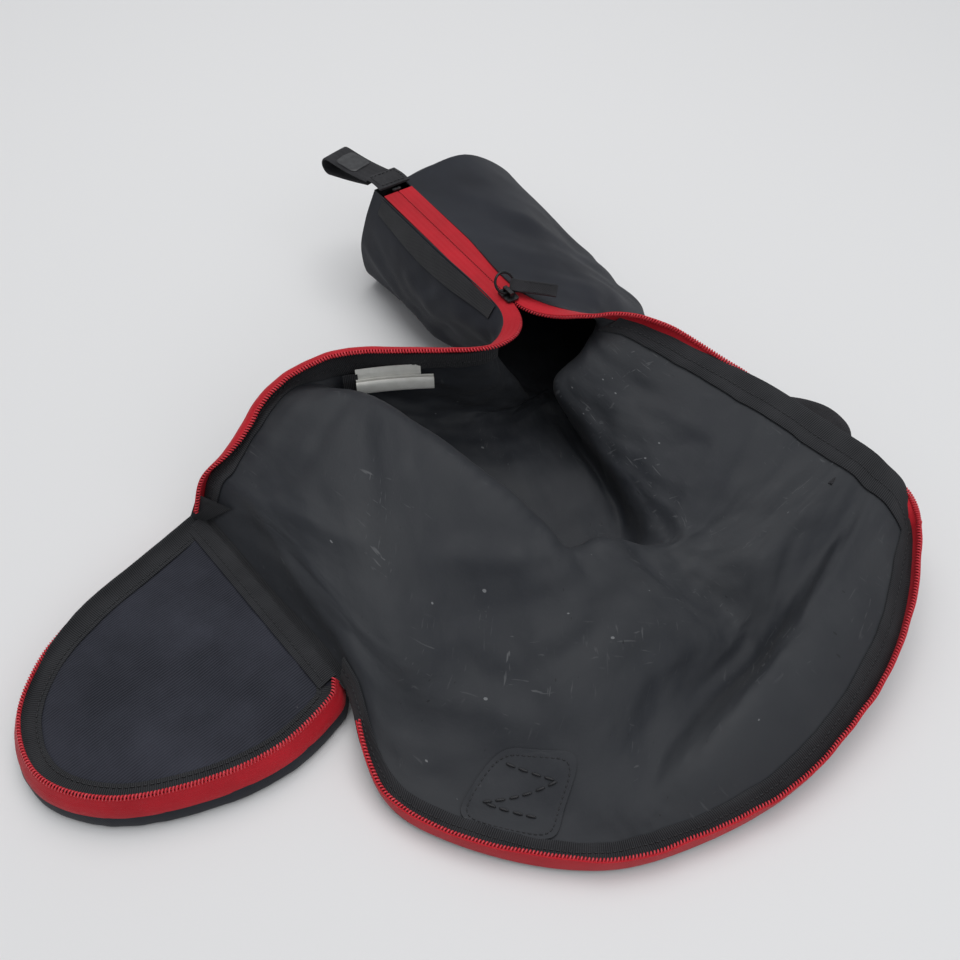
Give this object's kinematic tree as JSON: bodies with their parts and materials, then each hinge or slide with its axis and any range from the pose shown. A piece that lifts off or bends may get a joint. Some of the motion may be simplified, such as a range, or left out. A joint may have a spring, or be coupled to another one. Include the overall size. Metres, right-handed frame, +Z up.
{
  "type": "zipped stand bag",
  "caption": "Soft zipped carry bag for a light stand, lying open and empty with its round end lid hinged back, slider with ring and pull, and a webbing loop at the narrow end.",
  "frame": {"origin": "centre of the footprint, on the surface that the bag lies on", "axes": "+Z up, +Y from the open mouth towards the closed narrow end, +X to the right seen from the mouth, with the lid on the left"},
  "size_m": [0.5898, 0.6482, 0.1245],
  "materials": {
    "coated_fabric": "coated nylon, slightly shiny, scuffed",
    "black_twill": "matte nylon twill",
    "black_webbing": "woven webbing",
    "black_binding": "ribbed grosgrain",
    "red_tape": "woven polyester tape",
    "red_coil": "satin nylon coil",
    "foam": "soft foam",
    "thread": "bonded thread",
    "label_white": "satin ribbon",
    "black_metal": "glossy black plating",
    "rubber_patch": "smooth matte rubber"
  },
  "bodies": {
    "shell": {"left_body_panel": "coated_fabric", "base_panel": "coated_fabric", "right_body_panel": "coated_fabric", "narrow_end_panel": "black_twill", "zip_facing": "black_twill", "mouth_binding": "black_binding", "slit_binding_left": "black_binding", "slit_binding_right": "black_binding", "zip_tape_left": "red_tape", "zip_tape_right": "red_tape", "zip_coil_left": "red_coil", "zip_coil_right": "red_coil", "zip_end_tab": "black_webbing", "zip_end_stop": "black_metal", "reinforcement_patch": "coated_fabric", "patch_stitching": "thread", "strap_anchor": "black_webbing", "care_label_tab": "black_twill", "care_label_flat": "label_white", "care_label_folded": "label_white", "grab_handle": "black_webbing", "handle_tabs": "black_webbing"},
    "lid": {"lid_outer_panel": "black_twill", "lid_pad": "foam", "lid_lining": "black_twill", "lid_gusset": "black_twill", "lid_rim_binding": "black_binding", "hinge_binding": "black_binding", "zip_tape_lid": "red_tape", "zip_coil_lid": "red_coil"},
    "slider": {"slider_body": "black_metal"},
    "ring": {"pull_ring": "black_metal"},
    "pull": {"pull_strap": "black_webbing"},
    "loop": {"carry_loop": "black_webbing", "loop_patch": "rubber_patch"}
  },
  "joints": [
    {"name": "lid_hinge", "type": "hinge", "parent": "shell", "child": "lid", "pos_m": [-0.201, -0.0795, 0.026], "axis": [-0.6455, 0.7638, 0], "range_deg": [0, 34]},
    {"name": "slider_slide", "type": "slide", "parent": "shell", "child": "slider", "axis": [-0.5519, 0.8339, 0], "range_m": [0, 0.148]},
    {"name": "ring_hinge", "type": "hinge", "parent": "slider", "child": "ring", "pos_m": [0.01676, 0.05692, 0.1122], "axis": [0.8339, 0.5519, 0], "range_deg": [-3, 15]},
    {"name": "pull_hinge", "type": "hinge", "parent": "ring", "child": "pull", "pos_m": [0.02075, 0.06217, 0.11461], "axis": [-0.1758, -0.7736, -0.6087], "range_deg": [0, 35]},
    {"name": "loop_fold", "type": "hinge", "parent": "shell", "child": "loop", "pos_m": [-0.08922, 0.21523, 0.104], "axis": [0.6756, 0.7373, 0], "range_deg": [-15, 70]}
  ]
}
